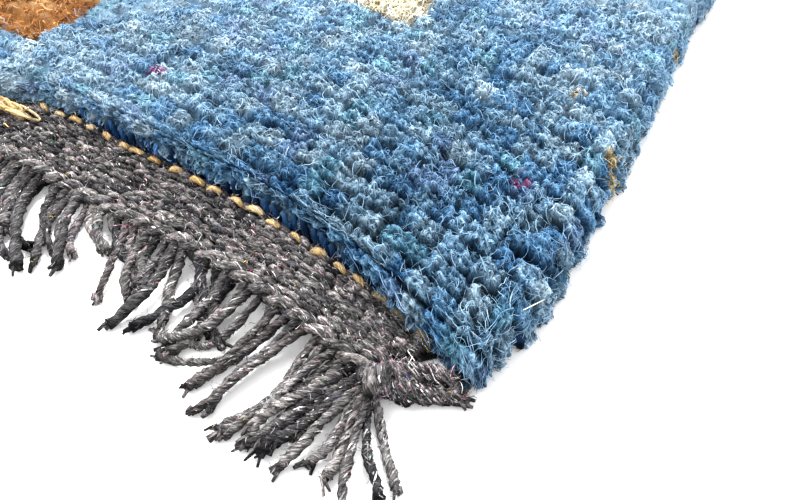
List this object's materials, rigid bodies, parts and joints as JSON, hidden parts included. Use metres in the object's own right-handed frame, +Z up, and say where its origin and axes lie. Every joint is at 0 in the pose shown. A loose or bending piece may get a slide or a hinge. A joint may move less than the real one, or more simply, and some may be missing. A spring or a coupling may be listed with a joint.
{
  "type": "nepalese rug",
  "caption": "Small hand-knotted wool shag rug with a deep pile field, flat-woven end bands, twining and a plied warp fringe at each end.",
  "frame": {"origin": "on the floor under the middle of the whole rug's box, fringe included", "axes": "+X across the warps, towards the pulled-out corner's side edge; +Y along the warps, from the near fringe to the far one; +Z up out of the pile"},
  "size_m": [0.6172, 1.015, 0.021],
  "materials": {
    "pile": "deep cut pile of soft blue hand-spun wool, with undyed and rust-coloured blocks",
    "selvedge": "blue wool wrapped round the side warps",
    "band": "weft-faced flat weave of grey marled wool with coloured flecks",
    "twining": "undyed tan wool twined over pairs of warps",
    "fringe": "plied grey marled wool warp ends with coloured flecks and frayed tips"
  },
  "bodies": {
    "root": {"pile": "pile", "selvedge_left": "selvedge", "selvedge_right": "selvedge", "kilim_near": "band", "twining_near": "twining", "fringe_near": "fringe", "kilim_far": "band", "twining_far": "twining", "fringe_far": "fringe"}
  },
  "joints": []
}
